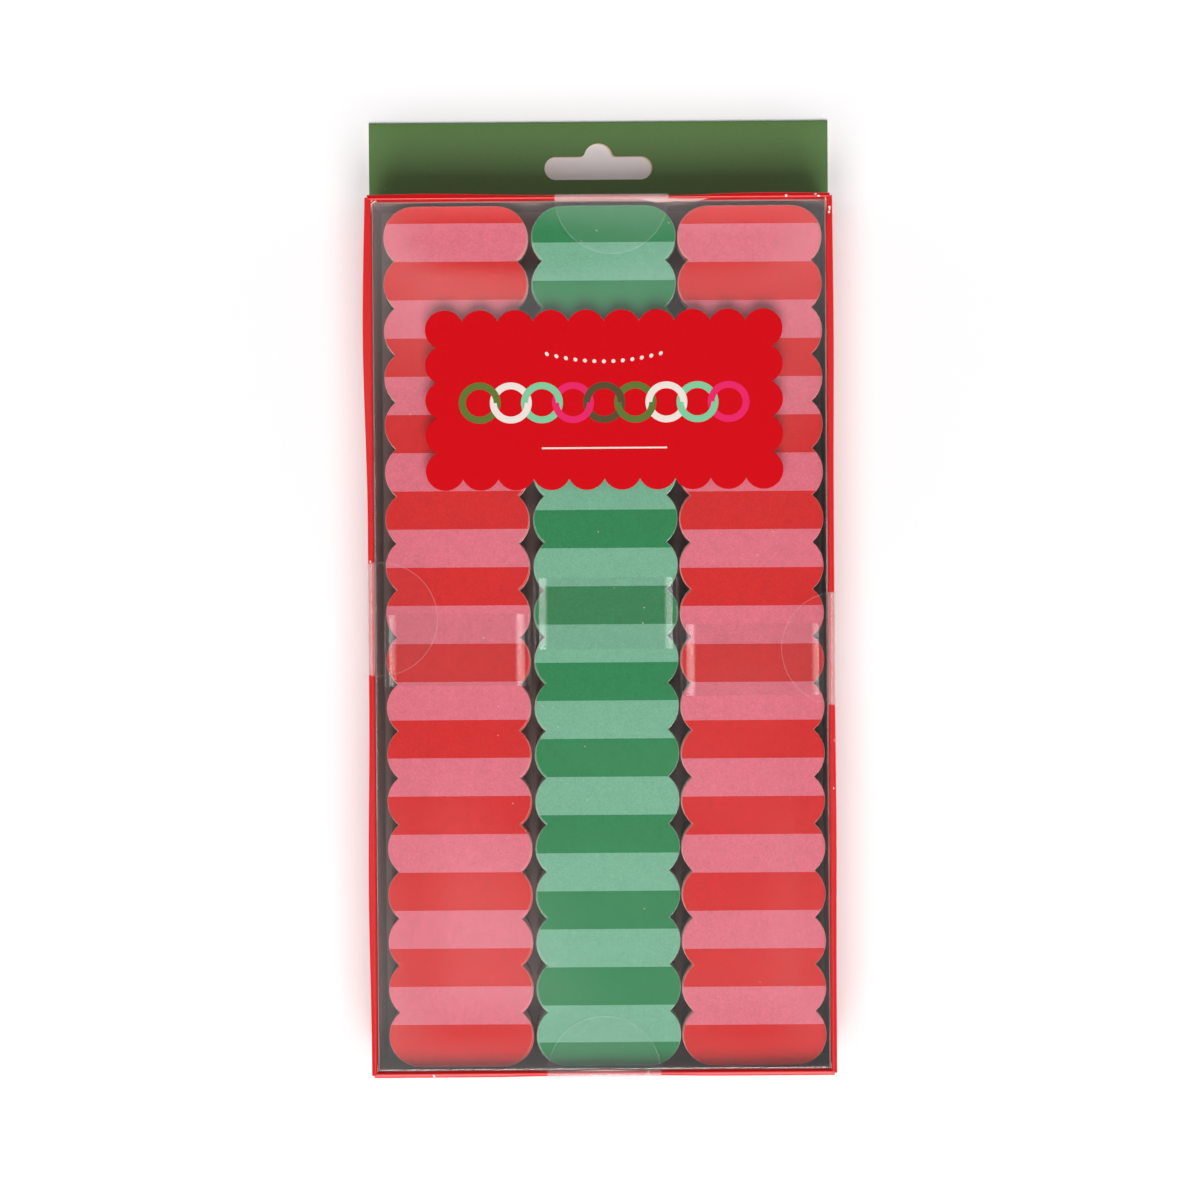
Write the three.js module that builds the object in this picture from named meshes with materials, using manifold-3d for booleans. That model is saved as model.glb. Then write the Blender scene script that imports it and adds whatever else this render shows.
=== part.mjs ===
// A hanging retail box of scalloped paper chain strips, in millimetres, lying on its back.
// +Z points out of the front, +Y towards the hang tab, and the origin is the middle of the underside.
import * as THREE from "three";
import { mergeVertices } from "three/addons/utils/BufferGeometryUtils.js";
import Module from "manifold-3d";

const wasm = await Module();
wasm.setup();

// Tray, folded from one sheet of card.
const CARD = 0.45;
const BOX_W = 123;
const BOX_L = 232.8;
const BOX_H = 25;
const WALL = 1.5;
const FOLD_R = 0.45;
const FOLD_SEGMENTS = 3;
const ROLL_SEGMENTS = 8;
const WALL_START = 1.35;
const BASE_LAP = 5;
const INNER_EDGE_Z = 0.6;
const SIDE_WALL_LENGTH = 229.4;
const END_WALL_LENGTH = 116.8;
const WEB_TOP = 23.6;
const WEB_TAB = 13;
const WEB_SIDE_TAB = 7;

// Hang tab, the base sheet folded back on itself beyond the top wall.
const TAB_W = 119.6;
const TAB_REACH = 23.16;
const TAB_GAP = 0.1;
const TAB_FOLD_SEGMENTS = 6;
const TAB_WALL_START = 2.25;
const TAB_LAP = 1.35;
const SLOT_W = 29.3;
const SLOT_H = 6.25;
const SLOT_ABOVE_WALL = 7.41;
const SLOT_BUMP_RISE = 3.6;
const SLOT_BUMP_R = 3.9;
const SLOT_FILLET = 1.2;
const SLOT_END_SEGMENTS = 8;
const SLOT_BUMP_SEGMENTS = 10;
const BACK_SLOT_SHIFT = 0.35;

// Clear lid, folded from one sheet of film and tucked inside the walls.
const FILM = 0.3;
const LID_CLEARANCE = 0.15;
const LID_TOP = 24.4;
const LID_FOOT = 0.75;
const LID_TAB = 9;
const LID_TAB_T = 0.45;
const LID_TAB_FOOT = 1.75;

// Paper strips. Every lobe is an arc of one radius, and each end lobe runs on round the corner.
const STRIP_W = 38.1;
const LOBE_PITCH = 12.47;
const LOBES = 18;
const NOTCH_DEPTH = 2.95;
const LOBE_R = ((LOBE_PITCH / 2) ** 2 + NOTCH_DEPTH ** 2) / (2 * NOTCH_DEPTH);
const LOBE_SEGMENTS = 3;
const END_LOBE_SEGMENTS = 5;
const STRIP_T = 0.3;
const STRIP_PITCH = 0.34;
const STACK_FLOOR = 0.7;
const STACK_TOP = 20.2;
const LOOSE_STRIPS = 5;
const LOWER_DESIGN_SHARE = 0.5;
const LOOSE_SLIP = 0.25;
const LOOSE_TURN = 0.0012;

// Clear band round each stack.
const BAND_W = 19;
const BAND_T = 0.1;
const BAND_CLEARANCE = 0.08;
const BAND_CORNER_R = 0.5;
const BAND_CORNER_SEGMENTS = 3;

// Scalloped label on the lid, a ring of bumps of one radius.
const LABEL_BUMPS = [10, 5];
const LABEL_PITCH = 9.33;
const LABEL_BUMP_R = 5.15;
const LABEL_T = 0.2;
const LABEL_AT = [1.1, 62.3];
const LABEL_SEGMENTS = 4;

// Round seals folded over the rim.
const SEAL_R = 15;
const SEAL_T = 0.12;
const SEAL_SEGMENTS = 40;
const SEAL_BEND_FROM = 130;
const SEAL_BEND_SEGMENTS = 7;
const STICK_GAP = 0.05;

// How far cutting shapes run past what they cut.
const CUT_MARGIN = 1;

const RED = 0xd8141b;
const CORAL = 0xdc4646;
const GREEN = 0x3c8e60;
const CLEAR = 0xe8ecee;
const LID_OPACITY = 0.25;
const SEAL_OPACITY = 0.4;

const STACKS = [
  { name: "left", x: -38.1, bandY: -3.5, upper: CORAL, lower: GREEN },
  { name: "middle", x: 1.3, bandY: 6, upper: GREEN, lower: CORAL },
  { name: "right", x: 40, bandY: -6.5, upper: CORAL, lower: GREEN },
];

const SEALS = [
  { name: "left", turn: 180, along: -4.9, inset: 3.3 },
  { name: "right", turn: 0, along: -3.6, inset: -0.9 },
  { name: "top", turn: 90, along: -3.4, inset: 0.6 },
  { name: "bottom", turn: -90, along: 0, inset: 1 },
];

// Points of an arc about (x, y), from one angle to another in degrees, both ends included.
function arc(x, y, radius, from, to, segments) {
  const points = [];
  for (let i = 0; i <= segments; i++) {
    const a = THREE.MathUtils.degToRad(from + ((to - from) * i) / segments);
    points.push([x + radius * Math.cos(a), y + radius * Math.sin(a)]);
  }
  return points;
}

// The closed outline of a bent sheet: its centre line moved half a thickness to each side.
function sheetOutline(line, thickness) {
  const sides = [[], []];
  line.forEach((point, i) => {
    const before = line[Math.max(i - 1, 0)];
    const after = line[Math.min(i + 1, line.length - 1)];
    const into = new THREE.Vector2(point[0] - before[0], point[1] - before[1]).normalize();
    const out = new THREE.Vector2(after[0] - point[0], after[1] - point[1]).normalize();
    const along = into.clone().add(out).normalize();
    const square = Math.max(along.dot(into), along.dot(out));
    const reach = thickness / 2 / square;
    sides[0].push([point[0] - along.y * reach, point[1] + along.x * reach]);
    sides[1].unshift([point[0] + along.y * reach, point[1] - along.x * reach]);
  });
  return [...sides[0], ...sides[1]];
}

// An outline in X and Y, raised from one height to another.
function plate(outline, bottom, top, hole) {
  const shape = new THREE.Shape(outline.map(([x, y]) => new THREE.Vector2(x, y)));
  if (hole) shape.holes.push(new THREE.Path(hole.map(([x, y]) => new THREE.Vector2(x, y))));
  const options = { depth: top - bottom, bevelEnabled: false };
  return new THREE.ExtrudeGeometry(shape, options).translate(0, 0, bottom);
}

// A cross-section given as distance outward and height, run along a wall of a given length.
// It is made for the right-hand side, facing +X, and turned about Z to face another way.
function alongWall(outline, length, outward, turn) {
  const geometry = plate(outline, -length / 2, length / 2);
  const x = new THREE.Vector3(1, 0, 0);
  const z = new THREE.Vector3(0, 0, 1);
  const y = new THREE.Vector3(0, -1, 0);
  geometry.applyMatrix4(new THREE.Matrix4().makeBasis(x, z, y));
  geometry.translate(outward, 0, 0);
  return geometry.rotateZ(THREE.MathUtils.degToRad(turn));
}

// A closed three.js geometry as a solid that can be joined and cut.
function solid(geometry) {
  const bare = geometry.clone();
  bare.deleteAttribute("normal");
  bare.deleteAttribute("uv");
  const merged = mergeVertices(bare, 1e-4);
  return new wasm.Manifold(
    new wasm.Mesh({
      numProp: 3,
      vertProperties: merged.attributes.position.array,
      triVerts: new Uint32Array(merged.index.array),
    }),
  );
}

function geometryOf(body) {
  const mesh = body.getMesh();
  const geometry = new THREE.BufferGeometry();
  geometry.setAttribute("position", new THREE.BufferAttribute(mesh.vertProperties, 3));
  geometry.setIndex(new THREE.BufferAttribute(mesh.triVerts, 1));
  geometry.computeVertexNormals();
  return geometry;
}

function join(geometries) {
  return geometries.map(solid).reduce((all, one) => all.add(one));
}

// Centre line of a rolled wall above its bottom fold: up the outer panel, over the rim and down inside.
function rolledLine(startZ) {
  const rollR = (WALL - CARD) / 2;
  const rollZ = BOX_H - WALL / 2;
  const up = [[-CARD / 2, startZ]];
  const over = arc(-WALL / 2, rollZ, rollR, 0, 180, ROLL_SEGMENTS);
  const down = [[CARD / 2 - WALL, INNER_EDGE_Z]];
  return [...up, ...over, ...down];
}

// A side or bottom wall with the strip of base that it folds up from.
function rolledWall(length, outward, turn) {
  const base = [[-BASE_LAP, CARD / 2]];
  const fold = arc(-CARD / 2 - FOLD_R, CARD / 2 + FOLD_R, FOLD_R, -90, 0, FOLD_SEGMENTS);
  const line = [...base, ...fold, ...rolledLine(WALL_START)];
  return alongWall(sheetOutline(line, CARD), length, outward, turn);
}

// The top wall stands on the hang tab's front layer: base, tab back, fold, tab front, wall.
// The sheet narrows where it leaves the tab, so the tab and the wall are two lengths of one section.
function tabAndTopWall() {
  const outer = BOX_L / 2;
  const frontZ = CARD * 1.5 + TAB_GAP;
  const foldR = (CARD + TAB_GAP) / 2;
  const foldX = TAB_REACH - foldR - CARD / 2;
  const tabFold = arc(foldX, CARD / 2 + foldR, foldR, -90, 90, TAB_FOLD_SEGMENTS);
  const tabLine = [[-BASE_LAP, CARD / 2], ...tabFold, [FOLD_R, frontZ]];
  const bend = arc(FOLD_R - CARD / 2, frontZ + FOLD_R, FOLD_R, 270, 180, FOLD_SEGMENTS);
  const wallLine = [[TAB_LAP, frontZ], ...bend, ...rolledLine(TAB_WALL_START)];
  const tab = alongWall(sheetOutline(tabLine, CARD), TAB_W, outer, 90);
  const wall = alongWall(sheetOutline(wallLine, CARD), END_WALL_LENGTH, outer, 90);
  return [tab, wall];
}

// The diagonal web that closes each corner, with a tab held in the hollow of either wall.
function cornerWeb(right, top) {
  const sideX = BOX_W / 2 - WALL / 2;
  const endY = BOX_L / 2 - WALL / 2;
  const line = [
    [sideX, SIDE_WALL_LENGTH / 2 - WEB_SIDE_TAB],
    [sideX, SIDE_WALL_LENGTH / 2 + CARD / 2],
    [END_WALL_LENGTH / 2 + CARD, endY],
    [END_WALL_LENGTH / 2 - WEB_TAB, endY],
  ].map(([x, y]) => [x * right, y * top]);
  const outline = sheetOutline(line, CARD);
  return plate(outline, CARD / 2, WEB_TOP);
}

function basePlate() {
  const x = BOX_W / 2 - FOLD_R - CARD / 2;
  const y = BOX_L / 2 - FOLD_R - CARD / 2;
  const sideEnd = SIDE_WALL_LENGTH / 2;
  const endEnd = END_WALL_LENGTH / 2;
  const corner = [[x, sideEnd], [endEnd, y]];
  const mirrored = (sx, sy) => corner.map(([px, py]) => [px * sx, py * sy]);
  const outline = [
    ...mirrored(1, 1),
    ...mirrored(-1, 1).reverse(),
    ...mirrored(-1, -1),
    ...mirrored(1, -1).reverse(),
  ];
  return plate(outline, 0, CARD);
}

// The hanging slot: a round-ended bar with a round bump in the middle of its upper edge.
function slotOutline() {
  const end = SLOT_W / 2 - SLOT_H / 2;
  const half = SLOT_H / 2;
  const bumpY = half + SLOT_BUMP_RISE - SLOT_BUMP_R;
  const footY = half + SLOT_FILLET;
  const reach = SLOT_BUMP_R + SLOT_FILLET;
  const footX = Math.sqrt(reach ** 2 - (footY - bumpY) ** 2);
  const touch = THREE.MathUtils.radToDeg(Math.atan2(footY - bumpY, footX));
  return [
    ...arc(end, 0, half, -90, 90, SLOT_END_SEGMENTS),
    ...arc(footX, footY, SLOT_FILLET, 270, 180 + touch, FOLD_SEGMENTS),
    ...arc(0, bumpY, SLOT_BUMP_R, touch, 180 - touch, SLOT_BUMP_SEGMENTS),
    ...arc(-footX, footY, SLOT_FILLET, -touch, -90, FOLD_SEGMENTS),
    ...arc(-end, 0, half, 90, 270, SLOT_END_SEGMENTS),
  ];
}

function slotCutter(bottom, top, shift) {
  const y = BOX_L / 2 + SLOT_ABOVE_WALL + SLOT_H / 2;
  return solid(plate(slotOutline(), bottom, top).translate(-shift, y - shift / 3, 0));
}

function tray() {
  const layerSplit = CARD + TAB_GAP / 2;
  const corners = [[1, 1], [-1, 1], [-1, -1], [1, -1]];
  const sheet = join([
    basePlate(),
    rolledWall(SIDE_WALL_LENGTH, BOX_W / 2, 0),
    rolledWall(SIDE_WALL_LENGTH, BOX_W / 2, 180),
    rolledWall(END_WALL_LENGTH, BOX_L / 2, -90),
    ...tabAndTopWall(),
    ...corners.map(([right, top]) => cornerWeb(right, top)),
  ]);
  return geometryOf(
    sheet
      .subtract(slotCutter(layerSplit, 2 * layerSplit + CUT_MARGIN, 0))
      .subtract(slotCutter(-CUT_MARGIN, layerSplit, BACK_SLOT_SHIFT)),
  );
}

function rectangle(halfX, halfY) {
  return [[halfX, halfY], [-halfX, halfY], [-halfX, -halfY], [halfX, -halfY]];
}

// One glued tab inside each end of the long skirts, its lower corner cut off on the slant.
function lidCornerTab(halfX, halfY, right, top) {
  const outline = [
    [0, LID_TOP - FILM / 2],
    [-LID_TAB, LID_TOP - FILM / 2],
    [-LID_TAB, LID_FOOT + LID_TAB / 2],
    [0, LID_TAB_FOOT],
  ];
  const geometry = plate(outline, 0, LID_TAB_T);
  const x = new THREE.Vector3(0, 1, 0);
  const y = new THREE.Vector3(0, 0, 1);
  const z = new THREE.Vector3(1, 0, 0);
  geometry.applyMatrix4(new THREE.Matrix4().makeBasis(x, y, z));
  geometry.translate(halfX - FILM * 2, halfY - FILM / 2, 0);
  const turned = right * top < 0;
  if (turned) geometry.translate(0, LID_TAB - 2 * halfY + FILM, 0);
  return right < 0 ? geometry.rotateZ(Math.PI) : geometry;
}

function clearLid() {
  const halfX = BOX_W / 2 - WALL - LID_CLEARANCE;
  const halfY = BOX_L / 2 - WALL - LID_CLEARANCE;
  const panel = plate(rectangle(halfX, halfY), LID_TOP - FILM, LID_TOP);
  const inside = rectangle(halfX - FILM, halfY - FILM);
  const skirts = plate(rectangle(halfX, halfY), LID_FOOT, LID_TOP, inside);
  const corners = [[1, 1], [-1, 1], [-1, -1], [1, -1]];
  const tabs = corners.map(([right, top]) => lidCornerTab(halfX, halfY, right, top));
  return geometryOf(join([panel, skirts, ...tabs]));
}

// Scalloped strip outline, anticlockwise from the notch above its lowest right-hand lobe.
function stripOutline() {
  const centreX = STRIP_W / 2 - LOBE_R;
  const notch = THREE.MathUtils.radToDeg(Math.asin(LOBE_PITCH / 2 / LOBE_R));
  const side = [];
  for (let i = 0; i < LOBES; i++) {
    const y = (i - (LOBES - 1) / 2) * LOBE_PITCH;
    const from = i === 0 ? -90 : -notch;
    const to = i === LOBES - 1 ? 90 : notch;
    const segments = to - from > 2 * notch ? END_LOBE_SEGMENTS : LOBE_SEGMENTS;
    const lobe = arc(centreX, y, LOBE_R, from, to, segments);
    side.push(...(i === 0 ? lobe : lobe.slice(1)));
  }
  return [...side, ...side.map(([x, y]) => [-x, -y])];
}

// Top strips as single sheets, and the rest of the pile as one block for each design.
function stackMeshes(stack) {
  const outline = stripOutline();
  const blockTop = STACK_TOP - LOOSE_STRIPS * STRIP_PITCH;
  const designSplit = STACK_FLOOR + (STACK_TOP - STACK_FLOOR) * LOWER_DESIGN_SHARE;
  const gap = STRIP_PITCH - STRIP_T;
  const sheets = [];
  for (let i = 0; i < LOOSE_STRIPS; i++) {
    const top = STACK_TOP - i * STRIP_PITCH;
    const strip = mesh(
      `${stack.name}_strip_${i + 1}`,
      plate(outline, top - STRIP_T, top),
      paper(stack.upper),
    );
    strip.position.set(stack.x, LOOSE_SLIP * Math.sin(2.4 * i + stack.x), 0);
    strip.rotation.z = LOOSE_TURN * Math.sin(1.7 * i + stack.x);
    sheets.push(strip);
  }
  const upper = mesh(
    `${stack.name}_strips_upper_block`,
    plate(outline, designSplit, blockTop),
    paper(stack.upper),
  );
  const lower = mesh(
    `${stack.name}_strips_lower_block`,
    plate(outline, STACK_FLOOR, designSplit - gap),
    paper(stack.lower),
  );
  upper.position.x = stack.x;
  lower.position.x = stack.x;
  return [...sheets, upper, lower];
}

// A closed film loop round a stack, as a ring in X and Z run along Y.
function band(stack) {
  const inner = STRIP_W / 2 + BAND_CLEARANCE;
  const bottom = STACK_FLOOR - BAND_CLEARANCE;
  const top = STACK_TOP + BAND_CLEARANCE;
  const loop = (grow) => {
    const r = BAND_CORNER_R + grow;
    const x = inner - BAND_CORNER_R;
    const low = bottom + BAND_CORNER_R;
    const high = top - BAND_CORNER_R;
    return [
      ...arc(x, high, r, 0, 90, BAND_CORNER_SEGMENTS),
      ...arc(-x, high, r, 90, 180, BAND_CORNER_SEGMENTS),
      ...arc(-x, low, r, 180, 270, BAND_CORNER_SEGMENTS),
      ...arc(x, low, r, 270, 360, BAND_CORNER_SEGMENTS),
    ];
  };
  const ring = solid(alongWall(loop(BAND_T), BAND_W, 0, 0));
  const hole = solid(alongWall(loop(0), BAND_W + 2 * CUT_MARGIN, 0, 0));
  const geometry = geometryOf(ring.subtract(hole));
  return geometry.translate(stack.x, stack.bandY, 0);
}

// A ring of round bumps, each an arc between the notches it shares with its neighbours.
function labelOutline() {
  const [across, up] = LABEL_BUMPS;
  const halfX = ((across - 1) * LABEL_PITCH) / 2;
  const halfY = ((up - 1) * LABEL_PITCH) / 2;
  const notch = THREE.MathUtils.radToDeg(Math.asin(LABEL_PITCH / 2 / LABEL_BUMP_R));
  const sides = [
    { from: [halfX, -halfY], step: [0, 1], count: up, facing: 0 },
    { from: [halfX, halfY], step: [-1, 0], count: across, facing: 90 },
    { from: [-halfX, halfY], step: [0, -1], count: up, facing: 180 },
    { from: [-halfX, -halfY], step: [1, 0], count: across, facing: 270 },
  ];
  const points = [];
  for (const { from, step, count, facing } of sides) {
    for (let i = 0; i < count - 1; i++) {
      const x = from[0] + i * step[0] * LABEL_PITCH;
      const y = from[1] + i * step[1] * LABEL_PITCH;
      const start = i === 0 ? facing - 90 - notch : facing - notch;
      const segments = i === 0 ? LABEL_SEGMENTS * 2 : LABEL_SEGMENTS;
      points.push(...arc(x, y, LABEL_BUMP_R, start, facing + notch, segments).slice(0, -1));
    }
  }
  return points;
}

function frontLabel() {
  const bottom = LID_TOP + STICK_GAP;
  const geometry = plate(labelOutline(), bottom, bottom + LABEL_T);
  return geometry.translate(LABEL_AT[0], LABEL_AT[1], 0);
}

// The space of a wall's outer face, up to a height.
function wallOnly(top, width) {
  const corners = [
    [-CUT_MARGIN, -CUT_MARGIN],
    [CUT_MARGIN, -CUT_MARGIN],
    [CUT_MARGIN, top],
    [-CUT_MARGIN, top],
  ];
  return alongWall(corners, width, 0, 0);
}

// A disc folded over the rim: its section follows lid, rim and wall, and two cylinders round it off.
// inset is how far the disc's centre lies inside the wall's outer face.
function seal({ turn, along, inset }, outward) {
  const rise = STICK_GAP + SEAL_T / 2;
  const rollZ = BOX_H - WALL / 2;
  const lidEdge = -WALL - LID_CLEARANCE;
  const section = [
    [-inset - SEAL_R - CUT_MARGIN, LID_TOP + rise],
    [lidEdge, LID_TOP + rise],
    ...arc(-WALL / 2, rollZ, WALL / 2 + rise, SEAL_BEND_FROM, 0, SEAL_BEND_SEGMENTS),
    [rise, rollZ - SEAL_R - CUT_MARGIN],
  ];
  const width = 2 * (SEAL_R + CUT_MARGIN);
  const strip = solid(alongWall(sheetOutline(section, SEAL_T), width, 0, 0));
  const disc = arc(0, 0, SEAL_R, 0, 360, SEAL_SEGMENTS).slice(0, -1);
  const onLid = plate(disc, rollZ, BOX_H + CUT_MARGIN).translate(-inset, 0, 0);
  const onWall = plate(disc, -CUT_MARGIN, CUT_MARGIN);
  const x = new THREE.Vector3(0, 0, 1);
  const y = new THREE.Vector3(0, 1, 0);
  const z = new THREE.Vector3(-1, 0, 0);
  onWall.applyMatrix4(new THREE.Matrix4().makeBasis(x, y, z));
  onWall.translate(0, 0, rollZ + inset);
  const shape = solid(onLid).add(solid(onWall).intersect(solid(wallOnly(rollZ, width))));
  const geometry = geometryOf(strip.intersect(shape));
  geometry.translate(outward, along, 0);
  return geometry.rotateZ(THREE.MathUtils.degToRad(turn));
}

function paper(color) {
  return new THREE.MeshStandardMaterial({ color, roughness: 0.75, metalness: 0 });
}

function card(color) {
  return new THREE.MeshStandardMaterial({ color, roughness: 0.45, metalness: 0 });
}

function film(opacity) {
  const look = { color: CLEAR, roughness: 0.08, metalness: 0, transparent: true, opacity };
  return new THREE.MeshStandardMaterial(look);
}

function mesh(name, geometry, material) {
  const made = new THREE.Mesh(geometry, material);
  made.name = name;
  return made;
}

const box = new THREE.Group();
box.add(mesh("tray", tray(), card(RED)));
box.add(mesh("clear_lid", clearLid(), film(LID_OPACITY)));
box.add(mesh("front_label", frontLabel(), card(RED)));
for (const stack of STACKS) {
  box.add(...stackMeshes(stack));
  box.add(mesh(`${stack.name}_band`, band(stack), film(LID_OPACITY)));
}
for (const one of SEALS) {
  const outward = Math.abs(one.turn) === 90 ? BOX_L / 2 : BOX_W / 2;
  box.add(mesh(`${one.name}_seal`, seal(one, outward), film(SEAL_OPACITY)));
}

// The box's middle is moved so that the whole object, tab and seals included, is centred on the origin.
const reachTop = BOX_L / 2 + TAB_REACH;
const reachBottom = BOX_L / 2 + STICK_GAP + SEAL_T;
box.position.y = (reachBottom - reachTop) / 2;

const group = new THREE.Group();
group.add(box);

export default group;
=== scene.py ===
import math
import random

import bmesh
import bpy
from mathutils import Matrix, Vector


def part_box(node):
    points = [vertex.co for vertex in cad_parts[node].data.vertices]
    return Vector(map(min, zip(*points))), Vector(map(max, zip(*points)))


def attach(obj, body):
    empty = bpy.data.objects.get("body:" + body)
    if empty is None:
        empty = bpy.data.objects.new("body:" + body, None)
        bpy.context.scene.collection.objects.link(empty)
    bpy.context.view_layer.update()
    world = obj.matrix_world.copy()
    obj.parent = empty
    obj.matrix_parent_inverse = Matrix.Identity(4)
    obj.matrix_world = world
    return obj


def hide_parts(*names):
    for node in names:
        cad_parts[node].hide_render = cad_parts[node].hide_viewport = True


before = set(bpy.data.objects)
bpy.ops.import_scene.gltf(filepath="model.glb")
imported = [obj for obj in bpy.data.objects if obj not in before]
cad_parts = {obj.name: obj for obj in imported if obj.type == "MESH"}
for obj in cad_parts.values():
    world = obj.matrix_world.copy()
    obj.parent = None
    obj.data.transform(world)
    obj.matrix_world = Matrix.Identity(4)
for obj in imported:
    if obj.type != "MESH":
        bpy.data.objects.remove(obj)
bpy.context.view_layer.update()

# A hanging box of scalloped paper chain strips, lying on its back, in metres.
MM = 0.001
HAIR = 0.001 * MM
tray_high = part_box("tray")[1]
lid_low, lid_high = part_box("clear_lid")
label_low, label_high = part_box("front_label")

# Card tray. The side walls end at two distances from the box's middle, at the top and the foot.
CARD = 0.45 * MM
WALL = 1.5 * MM
FOLD_R = 0.675 * MM
INNER_EDGE_Z = 0.6 * MM
SIDE_ENDS = {1: 113.95 * MM, -1: 115.1 * MM}
END_END = 58.4 * MM
TAB_HALF = 59.8 * MM
TAB_GAP = 0.1 * MM
PRINT_TURN_IN = 3 * MM
CREASE_R = 0.5 * MM
LEFT_LEAN = 0.85 * MM
TOP_LEAN = 0.25 * MM
TOP_RIM = 1.2 * MM
RIM_TILT = 0.14 * MM
WEB_TOP = 24.5 * MM
WEB_CORNER_R = 1.6 * MM
BOX_HALF_W = tray_high.x
BOX_HALF_L = (lid_high.y - lid_low.y) / 2 + WALL + 0.15 * MM
BOX_Y = (lid_high.y + lid_low.y) / 2
RIM_Z = tray_high.z
TAB_TOP = tray_high.y - BOX_Y - 0.35 * MM

# Hanging slot.
SLOT_W = 29.3 * MM
SLOT_H = 6.25 * MM
SLOT_ABOVE_WALL = 7.1 * MM
SLOT_BUMP_RISE = 3.6 * MM
SLOT_BUMP_R = 3.9 * MM
SLOT_FILLET = 1.2 * MM
BACK_SLOT_SHIFT = 0.35 * MM

# Knocks on the rims where the print has come away: middle and size.
RIM_CHIPS = [(x * MM, y * MM, size * MM) for x, y, size in (
    (49.3, 104.3, 0.3), (60.7, 101.3, 0.22), (60.8, 100.6, 0.26), (60.6, 99.8, 0.22),
    (-60.9, 8.6, 0.2), (-45, -127.4, 0.2), (61, -52, 0.18), (57.9, 104.3, 0.26),
    (57.2, 104.6, 0.2),
)]

# Clear lid.
FILM = 0.22 * MM
LID_FOLD_R = 0.45 * MM
LID_TAB = 9 * MM
FILM_IOR = 1.5
MOST_GLOSS = 0.15

# Paper strips.
STRIP_W = 38.1 * MM
LOBE_PITCH = 12.47 * MM
LOBES = 18
NOTCH_DEPTH = 2.95 * MM
LOBE_R = ((LOBE_PITCH / 2) ** 2 + NOTCH_DEPTH**2) / (2 * NOTCH_DEPTH)
LOBE_STEPS = 8
STRIP_HALF_L = (LOBES - 1) / 2 * LOBE_PITCH + LOBE_R
STRIP_T = 0.3 * MM
STRIP_PITCH = 0.34 * MM
STRIPE = 10.125 * MM
NICK_AT = 5.5 * MM
NICK_W = 0.5 * MM
NICK_REACH = 0.14 * MM

# Bands, label and seals.
BAND_W = 19 * MM
BAND_T = 0.08 * MM
BAND_RIDGE = 0.75 * MM
LABEL_BUMPS = (10, 5)
LABEL_PITCH = 9.33 * MM
LABEL_PITCH_UP = 9.3 * MM
LABEL_BUMP_R = 5.15 * MM
LABEL_STEPS = 12
SEAL_R = 15 * MM

# x and y are a stack's middle, lean how far its lower half has slid, slip how far the loose
# strips under the top one have slid, and spare the room between strips and band, left and right.
STACKS = [
    {"name": "left", "x": -38.1 * MM, "y": 0, "design": "red", "lean": (-0.45 * MM, -0.3 * MM),
     "slip": (0.3 * MM, -0.45 * MM), "band_y": -3.5 * MM, "spare": (0.8 * MM, 0.3 * MM)},
    {"name": "middle", "x": 1.3 * MM, "y": 0, "design": "green", "lean": (-0.3 * MM, 0.35 * MM),
     "slip": (-0.2 * MM, -0.3 * MM), "band_y": 6 * MM, "spare": (0.4 * MM, 0.16 * MM)},
    {"name": "right", "x": 40 * MM, "y": -0.35 * MM, "design": "red", "paper": "low_red",
     "lean": (0.1 * MM, 0.4 * MM), "slip": (-0.2 * MM, 0.3 * MM), "band_y": -6.5 * MM,
     "spare": (0.2 * MM, 0.15 * MM)},
]
LOOSE_STRIPS = sum(name.startswith("left_strip_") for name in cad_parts)


# Modelling helpers.

def deselect():
    if bpy.context.mode != "OBJECT":
        bpy.ops.object.mode_set(mode="OBJECT")
    bpy.ops.object.select_all(action="DESELECT")


def take(piece):
    """Selects one piece alone and makes it the active one."""
    deselect()
    piece.select_set(True)
    bpy.context.view_layer.objects.active = piece


def take_all():
    """Selects the whole of the edited piece."""
    bpy.ops.mesh.select_all(action="SELECT")


def stop_edit(name):
    """Leaves edit mode and names the piece and its mesh."""
    piece = bpy.context.object
    bpy.ops.object.mode_set(mode="OBJECT")
    piece.name = name
    piece.data.name = name
    return piece


def pick(test, kind="EDGE"):
    """Selects the points, edges or faces of the edited piece whose places all pass a test."""
    bpy.ops.mesh.select_mode(type=kind)
    bpy.ops.mesh.select_all(action="DESELECT")
    piece = bpy.context.edit_object
    mesh = bmesh.from_edit_mesh(piece.data)
    if kind == "VERT":
        for v in mesh.verts:
            v.select_set(test(v.co))
    else:
        for part in mesh.edges if kind == "EDGE" else mesh.faces:
            part.select_set(all(test(v.co) for v in part.verts))
    mesh.select_flush(True)
    bmesh.update_edit_mesh(piece.data)


def start_outline(x, y, z):
    """A single vertex, ready to be drawn out into an outline."""
    deselect()
    bpy.ops.mesh.primitive_plane_add(size=MM)
    bpy.ops.object.mode_set(mode="EDIT")
    bpy.ops.mesh.select_mode(type="VERT")
    take_all()
    bpy.ops.mesh.merge(type="CENTER")
    take_all()
    bpy.ops.transform.translate(value=(x, y, z))


def go(x, y=0.0, z=0.0):
    """Extrudes what is selected by a step."""
    bpy.ops.mesh.extrude_region_move(TRANSFORM_OT_translate={"value": (x, y, z)})


def turn(centre, degrees, steps, axis=(0, 0, 1)):
    """Spins what is selected round a centre, anticlockwise about the axis for plus degrees."""
    way = -1 if degrees > 0 else 1
    angle = math.radians(abs(degrees))
    bpy.ops.mesh.spin(steps=steps, angle=angle, center=centre, axis=[way * a for a in axis])


def close_outline():
    take_all()
    bpy.ops.mesh.remove_doubles(threshold=0.02 * MM)
    take_all()
    bpy.ops.mesh.edge_face_add()


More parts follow.
